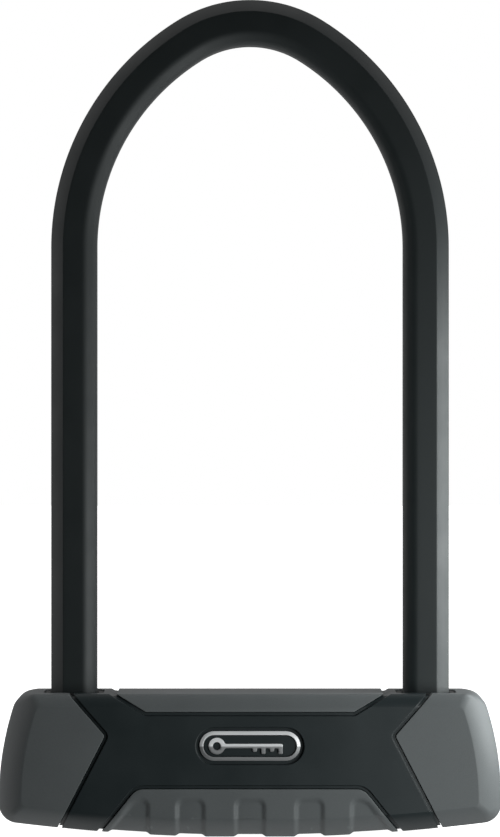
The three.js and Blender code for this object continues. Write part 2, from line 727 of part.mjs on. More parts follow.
// The sidebar springs out into one groove with the bolts drawn back, and the other with them out
function makeCylinderBody() {
  const shell = turned([[0, CYLINDER_BOTTOM_Z], [CYLINDER_R, CYLINDER_BOTTOM_Z],
    [CYLINDER_R, CYLINDER_TOP_Z], [0, CYLINDER_TOP_Z]], ROUND_SIDES);
  const bore = upright(circle(BORE_R, ROUND_SIDES), CYLINDER_BOTTOM_Z + LIP,
    CYLINDER_TOP_Z + OVERSHOOT);
  const mouth = upright(circle(NOSE_R + GAP, HOLE_SIDES), 0, CYLINDER_BOTTOM_Z + LIP + OVERSHOOT);
  const halfGroove = SIDEBAR_WIDTH / 2 + GAP;
  const grooveHeight = [sidebarBottom - GAP, sidebarTop + GAP];
  const openGroove = upright(rectangle(halfGroove, SIDEBAR_TRAVEL, 0, BORE_R), ...grooveHeight);
  const lockedGroove = upright(rectangle(SIDEBAR_TRAVEL, halfGroove, -BORE_R, 0), ...grooveHeight);
  const pinHole = through(circle(RETAINING_PIN_R + GAP, PIN_SIDES, 0, RETAINING_PIN_Z),
    -CYLINDER_R - OVERSHOOT, GAP - PIN_INNER_Y);
  const pinHoles = [pinHole, pinHole.mirror([0, 1, 0])];
  return cut(shell, bore, mouth, openGroove, lockedGroove, ...pinHoles);
}

const coreBottom = CYLINDER_BOTTOM_Z + LIP + GAP;
const coreFloor = coreBottom + LIP;
const guardBottom = coreFloor + GAP;
const stackStart = guardBottom + DRILL_GUARD_THICKNESS + GAP;
const stackPitch = DISC_THICKNESS + SPACER_THICKNESS + 2 * GAP;
const stackEnd = stackStart + DISC_COUNT * stackPitch - SPACER_THICKNESS - GAP;
const sidebarBottom = stackStart;
const sidebarTop = stackEnd - GAP;
const sidebarInnerR = DISC_R - SIDEBAR_IN_GATE;
const sidebarOuterR = BORE_R - 2 * GAP;

function makeCore() {
  const body = turned([[0, CYLINDER_BOTTOM_Z + GAP], [NOSE_R, CYLINDER_BOTTOM_Z + GAP],
    [NOSE_R, coreBottom], [CORE_R, coreBottom], [CORE_R, stackEnd], [0, stackEnd]], ROUND_SIDES);
  const hollow = upright(circle(CORE_INNER_R, ROUND_SIDES), coreFloor, stackEnd + OVERSHOOT);
  const slot = upright(rectangle(SIDEBAR_WIDTH / 2 + GAP / 2, CORE_R / 2, 0, CORE_R),
    sidebarBottom - GAP, sidebarTop + GAP);
  return cut(body, hollow, slot, keyway(0, coreFloor + OVERSHOOT));
}

// Flat disc with the key slot and, where a code disc needs it, a gate for the sidebar
function makeDisc(bottom, thickness, gated) {
  const disc = upright(circle(DISC_R, ROUND_SIDES), bottom, bottom + thickness);
  const height = [bottom - OVERSHOOT, bottom + thickness + OVERSHOOT];
  const slotted = cut(disc, keyway(...height));
  const gate = upright(rectangle(SIDEBAR_WIDTH / 2 + GAP, SIDEBAR_IN_GATE + GAP, 0, DISC_R),
    ...height);
  return gated ? cut(slotted, gate) : slotted;
}

function makeSidebar() {
  return block([-SIDEBAR_WIDTH / 2, SIDEBAR_WIDTH / 2], [sidebarInnerR, sidebarOuterR],
    [sidebarBottom, sidebarTop]);
}

function makeCoreTail() {
  const plate = upright(circle(CORE_R, ROUND_SIDES), stackEnd + GAP, CYLINDER_TOP_Z);
  const post = upright(rectangle(TAIL_WIDTH / 2, TAIL_WIDTH / 2), CYLINDER_TOP_Z - OVERSHOOT,
    TAIL_TOP_Z);
  return joined(plate, post);
}

function makeRetainingPin() {
  return through(circle(RETAINING_PIN_R, PIN_SIDES, 0, RETAINING_PIN_Z),
    -HOUSING_HALF_DEPTH, -PIN_INNER_Y);
}

// ---------- Keyhole cover ----------

const escutcheonTop = ESCUTCHEON_Z + ESCUTCHEON_THICKNESS;
const shutterBottom = escutcheonTop + GAP;

function makeEscutcheon() {
  const keyWindow = rectangle(WINDOW_WIDTH / 2, KEYWAY_LENGTH / 2);
  const slotFrom = NIB_FROM_X - RUNNING;
  const slotTo = NIB_TO_X + SHUTTER_TRAVEL + RUNNING;
  const slotHalfWidth = NIB_HALF_WIDTH + RUNNING;
  const slot = rectangle((slotTo - slotFrom) / 2, slotHalfWidth, (slotTo + slotFrom) / 2);
  const thumbSlot = roundCorners(slot, slotHalfWidth - GAP / 2);
  return upright(circle(ESCUTCHEON_R, ROUND_SIDES), ESCUTCHEON_Z, escutcheonTop,
    [keyWindow, thumbSlot]);
}

// Small plate that slides aside, with a thumb nib that shows in the slot
function makeShutter() {
  const height = [shutterBottom, shutterBottom + SHUTTER_THICKNESS];
  const blade = block([BLADE_FROM_X, BLADE_TO_X], [-SHUTTER_HALF_WIDTH, SHUTTER_HALF_WIDTH],
    height);
  const neck = block([BLADE_TO_X - OVERSHOOT, NIB_TO_X], [-NECK_HALF_WIDTH, NECK_HALF_WIDTH],
    height);
  const nib = block([NIB_FROM_X, NIB_TO_X], [-NIB_HALF_WIDTH, NIB_HALF_WIDTH],
    [ESCUTCHEON_Z + GAP, shutterBottom + GAP]);
  return joined(blade, neck, nib);
}

// ---------- Assembly ----------

const finishes = {
  black: { color: 0x202324, roughness: 0.55, metalness: 0 },
  grey: { color: 0x55595a, roughness: 0.55, metalness: 0 },
  sleeve: { color: 0x1b1e1f, roughness: 0.5, metalness: 0 },
  seal: { color: 0x141616, roughness: 0.8, metalness: 0 },
  silver: { color: 0xb8bbbd, roughness: 0.25, metalness: 0.9 },
  steel: { color: 0x8c8f92, roughness: 0.35, metalness: 0.9 },
  brass: { color: 0xb59a56, roughness: 0.35, metalness: 0.9 },
};

const lock = new THREE.Group();

function place(name, solid, finish) {
  const mesh = new THREE.Mesh(toGeometry(solid), new THREE.MeshStandardMaterial(finishes[finish]));
  mesh.name = name;
  lock.add(mesh);
}

function placePair(name, rightSolid, finish) {
  place(`right_${name}`, rightSolid, finish);
  place(`left_${name}`, mirrorX(rightSolid), finish);
}

function placeShackle() {
  place('shackle_sleeve', makeSleeve(), 'sleeve');
  place('shackle_bar', makeBar(), 'steel');
}

function placeCovers() {
  const cover = makeCover();
  place('front_shell', frontHalf(cover), 'black');
  place('rear_shell', rearHalf(cover), 'black');
  placePair('end_cap', makeCap(), 'grey');
  place('top_trim', makeTrim(), 'grey');
  place('bottom_grip', makeGrip(), 'grey');
  placePair('collar', makeCollar(), 'seal');
  place('badge_rim', makeBadgeRim(), 'silver');
  place('badge_plate', makeBadgePlate(), 'black');
  place('badge_emblem', makeEmblem(), 'silver');
  place('keyhole_escutcheon', makeEscutcheon(), 'black');
  place('keyhole_shutter', makeShutter(), 'black');
}

function placeHousing() {
  place('lock_housing', makeHousing(), 'steel');
  placePair('end_plug', makeEndPlug(), 'steel');
  placePair('foot_guide', makeFootGuide(), 'black');
  placePair('bolt_guide', makeBoltGuide(), 'black');
  placePair('bolt', makeBolt(), 'steel');
  placePair('drive_pin', makeDrivePin(), 'steel');
}

function placeCylinder() {
  place('cylinder_body', makeCylinderBody(), 'brass');
  place('cylinder_core', makeCore(), 'brass');
  place('core_tail', makeCoreTail(), 'steel');
  place('drive_cam', makeCam(), 'steel');
  place('sidebar', makeSidebar(), 'steel');
  place('drill_guard', makeDisc(guardBottom, DRILL_GUARD_THICKNESS, false), 'steel');
  for (let i = 0; i < DISC_COUNT; i += 1) {
    const bottom = stackStart + i * stackPitch;
    place(`code_disc_${i + 1}`, makeDisc(bottom, DISC_THICKNESS, true), 'brass');
    if (i < DISC_COUNT - 1) {
      const spacerBottom = bottom + DISC_THICKNESS + GAP;
      place(`disc_spacer_${i + 1}`, makeDisc(spacerBottom, SPACER_THICKNESS, true), 'steel');
    }
  }
  place('front_retaining_pin', makeRetainingPin(), 'steel');
  place('rear_retaining_pin', makeRetainingPin().mirror([0, 1, 0]), 'steel');
}

placeShackle();
placeCovers();
placeHousing();
placeCylinder();

export default lock;
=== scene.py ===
"""A U lock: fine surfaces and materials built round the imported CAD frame.

Metres, +Z up, the badge faces -Y. Places and main sizes come from the CAD nodes' boxes and the
driving dimensions below. The sizes of small details stand in their own functions.
"""

import json
import math

import bmesh
import bpy
from mathutils import Matrix, Vector


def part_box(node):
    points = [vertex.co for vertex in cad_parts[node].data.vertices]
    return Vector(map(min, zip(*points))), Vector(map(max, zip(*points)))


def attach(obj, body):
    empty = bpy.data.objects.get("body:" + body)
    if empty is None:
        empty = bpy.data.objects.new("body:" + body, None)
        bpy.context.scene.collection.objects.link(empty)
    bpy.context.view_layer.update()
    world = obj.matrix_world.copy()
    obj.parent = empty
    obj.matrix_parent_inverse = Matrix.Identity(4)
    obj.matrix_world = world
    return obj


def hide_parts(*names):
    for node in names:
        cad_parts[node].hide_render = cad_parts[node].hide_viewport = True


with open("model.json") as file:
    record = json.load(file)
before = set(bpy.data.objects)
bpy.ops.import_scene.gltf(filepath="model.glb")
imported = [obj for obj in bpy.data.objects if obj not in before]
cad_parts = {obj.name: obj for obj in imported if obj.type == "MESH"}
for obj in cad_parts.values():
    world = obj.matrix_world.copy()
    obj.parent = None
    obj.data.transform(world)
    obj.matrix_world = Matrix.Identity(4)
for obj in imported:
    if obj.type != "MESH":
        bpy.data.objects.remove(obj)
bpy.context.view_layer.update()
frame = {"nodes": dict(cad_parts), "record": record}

# ---------- Driving dimensions ----------

MM = 0.001
GAP = 0.3 * MM  # clearance between neighbouring pieces

SIDE_ARC_R = 86.2 * MM  # centre line of the U
TOP_ARC_R = 40.7 * MM
SLEEVE_WIDTH = 16.1 * MM
SLEEVE_CHAMFER = 4.4 * MM  # on the outside of the U
SLEEVE_INNER_WIDTH = 3.9 * MM  # the inner chamfers are wider than they are deep
SLEEVE_INNER_DEPTH = 2.2 * MM
BAR_R = 6.5 * MM
BAR_TAPER = 3 * MM  # length and end radius of the taper on each foot
BAR_TIP_R = 4.7 * MM
BOLT_TRAVEL = 5.5 * MM

SIDE_R = 107 * MM  # body outline, front view
TOP_CORNER_R = 7 * MM
BASE_CORNER_R = 6.5 * MM
BASE_R = 670 * MM
BASE_FLAT_HALF = 16.4 * MM
WIDEST_Z = 13 * MM
TOP_CHAMFER = 4.7 * MM  # along the front and rear edges of the body, seen from the front
TOP_CHAMFER_DEPTH = 2.6 * MM
SIDE_CHAMFER = 8.4 * MM  # this one and the next are as deep as they are wide
BASE_CHAMFER = 6.7 * MM
CHAMFER_POWER = 1.35  # 1 gives flat chamfers with hard edges, 2 a quarter circle

CHANNEL_DEPTH = 0.9 * MM  # finger channels across the bottom grip
CHANNEL_TOP = 13.2 * MM
CHANNEL_WALL = 1.8 * MM  # width of a channel's sloping wall
CHANNEL_ROUND = 2.2 * MM
MIDDLE_CHANNEL_HALF = 4.9 * MM
SIDE_CHANNEL_X = 20.8 * MM
SIDE_CHANNEL_HALF = 4.6 * MM
END_CHANNEL_X = 35.6 * MM  # its inner wall is upright, its outer one leans
END_CHANNEL_TOP_X = 40.6 * MM
END_CHANNEL_LEAN = Vector((14.2, 10.4)).normalized()

PANEL = 1.6 * MM  # thickness of the outer layer's grey pieces
BASE_INSET = PANEL + GAP  # outside of the black base layer under them
CAVITY_INSET = BASE_INSET + 2 * MM  # its inside
GROOVE = 1.3 * MM  # width of the line between two pieces of the outer layer
GROOVE_DEPTH = 0.9 * MM
COLLAR_CORNER_R = 3 * MM
BADGE_MOAT = 2.8 * MM  # how much larger the recess is than the rim
BADGE_RECESS_DEPTH = 1.4 * MM

sleeve_lo, sleeve_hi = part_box("shackle_sleeve")
bar_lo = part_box("shackle_bar")[0]
bolt_lo, bolt_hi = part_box("right_bolt")
collar_lo, collar_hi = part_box("right_collar")
rim_lo, rim_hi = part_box("badge_rim")
emblem_lo, emblem_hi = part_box("badge_emblem")
plate_lo, plate_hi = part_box("badge_plate")
escutcheon_lo, escutcheon_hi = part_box("keyhole_escutcheon")
shutter_lo, shutter_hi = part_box("keyhole_shutter")

LEG_X = sleeve_hi.x - SLEEVE_WIDTH / 2
SLEEVE_DEPTH = sleeve_hi.y - sleeve_lo.y
HALF_DEPTH = -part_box("front_shell")[0].y
HALF_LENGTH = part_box("right_end_cap")[1].x
BODY_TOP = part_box("top_trim")[1].z
HOUSING_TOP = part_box("lock_housing")[1].z
COLLAR_HALF = (collar_hi.x - collar_lo.x) / 2
BADGE_MIDDLE = (0, (rim_lo.z + rim_hi.z) / 2)
PAST = HALF_DEPTH + 5 * MM  # beyond the body's front and back

# ---------- Outlines ----------


def arc(centre, radius, start, end, steps):
    """Points along an arc, first and last included; angles in radians."""
    angles = [start + (end - start) * i / steps for i in range(steps + 1)]
    return [(centre[0] + radius * math.cos(a), centre[1] + radius * math.sin(a)) for a in angles]


def circle(centre, radius, steps):
    return arc(centre, radius, 0, 2 * math.pi, steps)[:-1]


def mirrored(points):
    return [(-x, y) for x, y in reversed(points)]


def stadium(length, height, centre, steps=24):
    radius = height / 2
    reach = length / 2 - radius
    right = arc((centre[0] + reach, centre[1]), radius, -math.pi / 2, math.pi / 2, steps)
    left = arc((centre[0] - reach, centre[1]), radius, math.pi / 2, 1.5 * math.pi, steps)
    return right + left


def rectangle(half_width, half_height, centre=(0, 0)):
    x, y = centre
    return [
        (x - half_width, y - half_height),
        (x + half_width, y - half_height),
        (x + half_width, y + half_height),
        (x - half_width, y + half_height),
    ]


def rounded(points, radii, steps=6):
    """A closed anticlockwise outline with an arc of the given radius at each corner."""
    result = []
    for i, point in enumerate(points):
        corner = Vector(point)
        back = (Vector(points[i - 1]) - corner).normalized()
        on = (Vector(points[(i + 1) % len(points)]) - corner).normalized()
        radius = radii[i]
        if radius == 0:
            result.append(point)
            continue
        half_angle = math.acos(back.dot(on)) / 2
        centre = corner + (back + on).normalized() * radius / math.sin(half_angle)
        start = corner + back * radius / math.tan(half_angle) - centre
        end = corner + on * radius / math.tan(half_angle) - centre
        first = math.atan2(start.y, start.x)
        turn = math.atan2(start.x * end.y - start.y * end.x, start.dot(end))
        result += arc(centre, radius, first, first + turn, steps)
    return result


def grown(points, distance):
    """A closed anticlockwise outline with each side moved outwards."""
    result = []
    for i, point in enumerate(points):
        here = Vector(point)
        before = (here - Vector(points[i - 1])).normalized()
        after = (Vector(points[(i + 1) % len(points)]) - here).normalized()
        miter = Vector((before.y + after.y, -before.x - after.x)).normalized()
        spread = miter.dot(Vector((before.y, -before.x)))
        result.append(tuple(here + miter * distance / spread))
    return result


# ---------- Meshes ----------


def new_object(name, vertices, faces):
    mesh = bpy.data.meshes.new(name)
    mesh.from_pydata(vertices, [], faces)
    mesh.validate()
    piece = bpy.data.objects.new(name, mesh)
    bpy.context.scene.collection.objects.link(piece)
    return piece


def ring_faces(rings, count, closed=False):
    """Quads that join each ring of count vertices to the next one."""
    faces = []
    for j in range(rings if closed else rings - 1):
        this, following = j * count, (j + 1) % rings * count
        for i in range(count):
            k = (i + 1) % count
            faces.append((this + i, this + k, following + k, following + i))
    return faces


def stacked(name, rings):
    """Closed solid from rings of points, with a flat lid on the first and the last."""
    count = len(rings[0])
    faces = ring_faces(len(rings), count)
    faces.append(tuple(reversed(range(count))))
    faces.append(tuple(range((len(rings) - 1) * count, len(rings) * count)))
    return new_object(name, [point for ring in rings for point in ring], faces)


def through(points, front, back, name="tool"):
    """Outline in X and Z, from one depth to another."""
    return stacked(name, [[(x, y, z) for x, z in points] for y in (back, front)])


def upright(points, bottom, top, name="tool"):
    """Outline in X and Y, from one height to another."""
    return stacked(name, [[(x, y, z) for x, y in points] for z in (bottom, top)])


def box(low, high, name="tool"):
    return upright([(low[0], low[1]), (high[0], low[1]), (high[0], high[1]), (low[0], high[1])],
                   low[2], high[2], name)


def evaluated_mesh(piece):
    depsgraph = bpy.context.evaluated_depsgraph_get()
    return bpy.data.meshes.new_from_object(piece.evaluated_get(depsgraph))


def apply_modifiers(piece):
    mesh = evaluated_mesh(piece)
    piece.modifiers.clear()
    old = piece.data
    piece.data = mesh
    bpy.data.meshes.remove(old)
    return piece


def combine(piece, operation, *tools):
    """Boolean with each tool in turn; the tools are used up."""
    for tool in tools:
        modifier = piece.modifiers.new("combine", "BOOLEAN")
        modifier.operation = operation
        modifier.solver = "EXACT"
        modifier.object = tool
        apply_modifiers(piece)
        old = tool.data
        bpy.data.objects.remove(tool)
        bpy.data.meshes.remove(old)
    return piece


def cut(piece, *tools):
    return combine(piece, "DIFFERENCE", *tools)


def keep(piece, *tools):
    return combine(piece, "INTERSECT", *tools)


def join(piece, *tools):
    return combine(piece, "UNION", *tools)


def copy_of(piece, name):
    twin = bpy.data.objects.new(name, piece.data.copy())
    bpy.context.scene.collection.objects.link(twin)
    return twin


def mirror_copy(piece, name):
    twin = copy_of(piece, name)
    twin.data.transform(Matrix.Scale(-1, 4, (1, 0, 0)))
    twin.data.flip_normals()
    return twin


def merge_slivers(piece, flat_angle=0.3):
    """Joins vertices that nearly touch and faces that lie in one plane."""
    mesh = bmesh.new()
    mesh.from_mesh(piece.data)
    bmesh.ops.remove_doubles(mesh, verts=mesh.verts, dist=0.02 * MM)
    bmesh.ops.dissolve_degenerate(mesh, edges=mesh.edges, dist=0.02 * MM)
    bmesh.ops.dissolve_limit(mesh, angle_limit=math.radians(flat_angle), verts=mesh.verts,
                             edges=mesh.edges)
    mesh.to_mesh(piece.data)
    mesh.free()


def round_edges(piece, width, segments=2, angle=32):
    merge_slivers(piece)
    bevel = piece.modifiers.new("bevel", "BEVEL")
    bevel.width = width
    bevel.segments = segments
    bevel.limit_method = "ANGLE"
    bevel.angle_limit = math.radians(angle)
    bevel.use_clamp_overlap = False
    bevel.harden_normals = False
    bevel.miter_outer = "MITER_ARC"
    return apply_modifiers(piece)


def smooth(piece, angle=32, flats_first=False):
    """Smooth shading up to an angle; flats_first lets large faces keep their own normal."""
    piece.data.shade_smooth()
    piece.data.set_sharp_from_angle(angle=math.radians(angle))
    if flats_first:
        normals = piece.modifiers.new("normals", "WEIGHTED_NORMAL")
        normals.keep_sharp = True
        normals.weight = 100
    return piece


def soften(piece, width, segments=2, angle=32):
    """Rounds the hard edges a little and shades the rest smooth."""
    round_edges(piece, width, segments, angle)
    return smooth(piece, angle, flats_first=True)


def looped(name, outlines):
    """Closed ring-shaped solid whose section runs through the given outlines."""
    count = len(outlines[0])
    faces = ring_faces(len(outlines), count, closed=True)
    return new_object(name, [point for outline in outlines for point in outline], faces)


# ---------- Materials ----------


class Nodes:
    """Shorthand for building one material's node tree."""

    def __init__(self, name):
        self.material = bpy.data.materials.new(name)
        self.material.use_nodes = True
        self.tree = self.material.node_tree
        self.shader = self.tree.nodes["Principled BSDF"]
        self.place = self.add("ShaderNodeTexCoord").outputs["Object"]

    def add(self, kind, **inputs):
        node = self.tree.nodes.new(kind)
        for name, value in inputs.items():
            self.set(node.inputs[name.replace("_", " ")], value)
        return node

    def set(self, socket, value):
        if isinstance(value, bpy.types.NodeSocket):
            self.tree.links.new(value, socket)
        else:
            socket.default_value = value

    def noise(self, size, detail=4, roughness=0.6, stretch=(1, 1, 1)):
        """Noise whose features are about size across."""
        mapping = self.add("ShaderNodeMapping", Vector=self.place)
        mapping.inputs["Scale"].default_value = stretch
        node = self.add("ShaderNodeTexNoise", Vector=mapping.outputs["Vector"], Detail=detail)
        node.inputs["Scale"].default_value = 1 / size
        node.inputs["Roughness"].default_value = roughness
        return node.outputs["Fac"]

    def spread(self, value, low, high, start=0.3, end=0.7):
        """Maps a 0 to 1 pattern onto low to high."""
        node = self.add("ShaderNodeMapRange", Value=value)
        node.inputs["From Min"].default_value = start
        node.inputs["From Max"].default_value = end
        node.inputs["To Min"].default_value = low
        node.inputs["To Max"].default_value = high
        return node.outputs["Result"]

    def blend(self, factor, first, second):
        """Mixes two colours; a Mix node's colour sockets are inputs 6 and 7 and output 2."""
        node = self.add("ShaderNodeMix")
        node.data_type = "RGBA"
        self.set(node.inputs["Factor"], factor)
        self.set(node.inputs[6], first)
        self.set(node.inputs[7], second)
        return node.outputs[2]

    def bump(self, height, depth):
        node = self.add("ShaderNodeBump", Height=height)
        node.inputs["Distance"].default_value = depth
        return node.outputs["Normal"]

    def finish(self, **inputs):
        for name, value in inputs.items():
            self.set(self.shader.inputs[name.replace("_", " ")], value)
        return self.material


def linear(red, green, blue):
    """Linear colour from 0 to 255 screen values."""
    channels = []
    for value in (red, green, blue):
        share = value / 255
        low = share / 12.92
        high = ((share + 0.055) / 1.055) ** 2.4
        channels.append(low if share <= 0.04045 else high)
    return (*channels, 1)


def shade(colour, factor):
    return (*[channel * factor for channel in colour[:3]], 1)


def plastic(name, colour, roughness, grain=0.25 * MM):
    """Moulded plastic: spark-eroded grain, faint flow marks, handling shine and lightened edges that
    are partly wear and partly a painted edge highlight.
    """
    nodes = Nodes(name)
    cloud = nodes.noise(22 * MM, detail=3)
    fine = nodes.noise(grain, detail=2, roughness=0.5)
    tint = nodes.blend(nodes.spread(cloud, 0, 1), shade(colour, 0.93), shade(colour, 1.07))
    speck = nodes.blend(nodes.spread(fine, 0, 0.5), tint, shade(colour, 1.25))
    # painted highlight: convex edges are lightened, partly as wear and partly in place of the bright
    # rims that light puts on them
    edges = nodes.add("ShaderNodeNewGeometry").outputs["Pointiness"]
    worn_and_highlit = nodes.blend(nodes.spread(edges, 0, 0.5, 0.53, 0.6), speck, shade(colour, 1.6))
    shine = nodes.spread(cloud, roughness - 0.05, roughness + 0.05)
    return nodes.finish(
        Base_Color=worn_and_highlit,
        Roughness=shine,
        Normal=nodes.bump(fine, 0.012 * MM),
    )


def metal(name, colour, roughness, brushed=(1, 1, 1)):
    """Metal with a directional grain, darker in its hollows."""
    nodes = Nodes(name)
    grain = nodes.noise(1.2 * MM, detail=6, stretch=brushed)
    cloud = nodes.noise(14 * MM, detail=3)
    tint = nodes.blend(nodes.spread(grain, 0, 1), shade(colour, 0.8), colour)
    return nodes.finish(
        Base_Color=tint,
        Metallic=1.0,
        Roughness=nodes.spread(cloud, roughness - 0.06, roughness + 0.08),
        Normal=nodes.bump(grain, 0.01 * MM),
    )


def silver_with_painted_reflection():
    """Plated silver with a painted reflection: painted bright above the badge's middle line and
    painted dark below it, in place of the bright surroundings above and the darker ones below that
    chrome would mirror.
    """
    nodes = Nodes("badge_silver")
    split = nodes.add("ShaderNodeSeparateXYZ", Vector=nodes.place)
    middle = BADGE_MIDDLE[1]
    # painted reflection: the light upper tone and the dark lower tone stand for mirrored surroundings
    # and are painted into the colour
    height = nodes.spread(split.outputs["Z"], 0, 1, middle - 0.4 * MM, middle + 0.1 * MM)
    grain = nodes.noise(0.5 * MM, detail=5, stretch=(0.1, 1, 1))
    bright = nodes.blend(nodes.spread(grain, 0, 1), linear(240, 241, 242), linear(250, 250, 251))
    painted_dark_reflection = nodes.blend(nodes.spread(grain, 0, 1), linear(138, 139, 140), linear(152, 153, 154))
    return nodes.finish(
        Base_Color=nodes.blend(height, painted_dark_reflection, bright),
        Metallic=0.1,
        Roughness=nodes.spread(grain, 0.3, 0.4),
        Normal=nodes.bump(grain, 0.004 * MM),
    )


def make_materials():
    sleeve = linear(21, 29, 30)
    black = linear(25, 34, 36)
    grey = linear(85, 89, 90)
    steel = linear(150, 152, 154)
    return {
        "sleeve_black": plastic("sleeve_vinyl", sleeve, 0.54, grain=0.35 * MM),
        "cover_black": plastic("cover_plastic", black, 0.45),
        "panel_grey": plastic("panel_plastic", grey, 0.58, grain=0.3 * MM),
        "seal_black": plastic("seal_rubber", linear(18, 19, 20), 0.7, grain=0.5 * MM),
        "badge_silver": silver_with_painted_reflection(),
        "hardened_steel": metal("ground_steel", steel, 0.3, brushed=(1, 1, 0.12)),
        "housing_steel": metal("tube_steel", linear(120, 122, 125), 0.42, brushed=(0.1, 1, 1)),
        "guide_plastic": plastic("guide_nylon", linear(44, 46, 47), 0.55),
        "brass": metal("cylinder_brass", linear(198, 170, 100), 0.3, brushed=(1, 1, 0.3)),
    }


materials = make_materials()


def dress(piece, slot, body, *replaced):
    """Gives a finished piece its material, its body and the CAD nodes it stands for."""
    piece.data.materials.clear()
    piece.data.materials.append(materials[slot])
    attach(piece, body)
    if replaced:
        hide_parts(*replaced)
    return piece


# ---------- Shackle ----------

ARCH_SWEEP = math.acos((SIDE_ARC_R - LEG_X) / (SIDE_ARC_R - TOP_ARC_R))
TOP_CENTRE_Z = sleeve_hi.z - SLEEVE_WIDTH / 2 - TOP_ARC_R
ARCH_START_Z = TOP_CENTRE_Z - (SIDE_ARC_R - TOP_ARC_R) * math.sin(ARCH_SWEEP)


def shackle_stations(end_z, steps=64, leg_steps=4):
    """Centre line of the U as (point, inward direction) pairs, from one foot to the other."""
    left = []
    for i in range(leg_steps):
        z = end_z + (ARCH_START_Z - end_z) * i / leg_steps
        left.append((Vector((-LEG_X, 0, z)), Vector((1, 0, 0))))
    for i in range(steps):
        angle = ARCH_SWEEP * i / steps
        inward = Vector((math.cos(angle), 0, -math.sin(angle)))
        centre = Vector((SIDE_ARC_R - LEG_X, 0, ARCH_START_Z))
        left.append((centre - inward * SIDE_ARC_R, inward))
    for i in range(steps // 2):
        angle = ARCH_SWEEP + (math.pi / 2 - ARCH_SWEEP) * 2 * i / steps
        inward = Vector((math.cos(angle), 0, -math.sin(angle)))
        left.append((Vector((0, 0, TOP_CENTRE_Z)) - inward * TOP_ARC_R, inward))
    top = [(Vector((0, 0, TOP_CENTRE_Z + TOP_ARC_R)), Vector((0, 0, -1)))]
    flip = Vector((-1, 1, 1))
    right = [(point * flip, inward * flip) for point, inward in reversed(left)]
    return left + top + right


def swept_rings(section, end_z):
    """Rings of a section of (depth, inward) points along the U."""
    front = Vector((0, -1, 0))
    stations = shackle_stations(end_z)
    return [[middle + front * d + inward * w for d, w in section] for middle, inward in stations]


def sleeve_section():
    """Outer side with two crisp, slightly crowned chamfers, inner side with two rounded ones."""
    half_depth = SLEEVE_DEPTH / 2
    half_width = SLEEVE_WIDTH / 2
    crowned = SLEEVE_CHAMFER / 2 - 0.2 * MM
    front = [
        (half_depth - SLEEVE_CHAMFER, -half_width),
        (half_depth - crowned, crowned - half_width),
        (half_depth, SLEEVE_CHAMFER - half_width),
        (half_depth, half_width - SLEEVE_INNER_WIDTH),
        (half_depth - SLEEVE_INNER_DEPTH, half_width),
    ]
    crown_r = 28 * MM
    radii = [0.5 * MM, crown_r, 0.5 * MM, 5 * MM, 3.8 * MM]
    rear = [(-depth, across) for depth, across in reversed(front)]
    return rounded(front + rear, radii + radii[::-1], steps=8)


def divided(points, longest):
    """A closed outline with extra points wherever a side is longer than allowed."""
    result = []
    for i, point in enumerate(points):
        start, end = Vector(point), Vector(points[(i + 1) % len(points)])
        parts = math.ceil((end - start).length / longest)
        result += [tuple(start.lerp(end, k / parts)) for k in range(parts)]
    return result


def make_sleeve():
    """A tube: outer skin, then the bore back along the same centre line."""
    edge = 0.4 * MM
    outer = divided(sleeve_section(), 1.2 * MM)
    bore = [tuple(Vector(point).normalized() * (BAR_R + GAP)) for point in outer]
    ends = swept_rings(grown(outer, -edge), sleeve_lo.z)
    skin = swept_rings(outer, sleeve_lo.z + edge)
    inside = swept_rings(bore, sleeve_lo.z)
    piece = looped("sleeve", [ends[0], *skin, ends[-1], *reversed(inside)])
    smooth(piece, angle=40)
    return dress(piece, "sleeve_black", "shackle", "shackle_sleeve")


def make_bar():
    """The steel bar, tapered at its feet, each with a notch for its bolt."""
    clear = 0.4 * MM
    sides = 48
    reach = bolt_hi.x + BOLT_TRAVEL + clear
    rings = swept_rings(circle((0, 0), BAR_R, sides), bar_lo.z + BAR_TAPER)
    tips = swept_rings(circle((0, 0), BAR_TIP_R, sides), bar_lo.z)
    piece = stacked("bar", [tips[0], *rings, tips[-1]])
    for side in (-1, 1):
        inner, outer = sorted((side * (LEG_X - 2 * BAR_R), side * reach))
        cut(piece, box((inner, -2 * BAR_R, bolt_lo.z - clear), (outer, 2 * BAR_R, bolt_hi.z + clear)))
    smooth(piece, angle=30)
    return dress(piece, "hardened_steel", "shackle", "shackle_bar")


# ---------- Body ----------


def circles_meet(centre_a, radius_a, centre_b, radius_b):
    """Where two circles meet, on the right-hand side."""
    line = centre_b - centre_a
    distance = line.length
    along = (radius_a**2 - radius_b**2 + distance**2) / (2 * distance)
    across = math.sqrt(radius_a**2 - along**2)
    line.normalize()
    return centre_a + line * along + Vector((-line.y, line.x)) * across


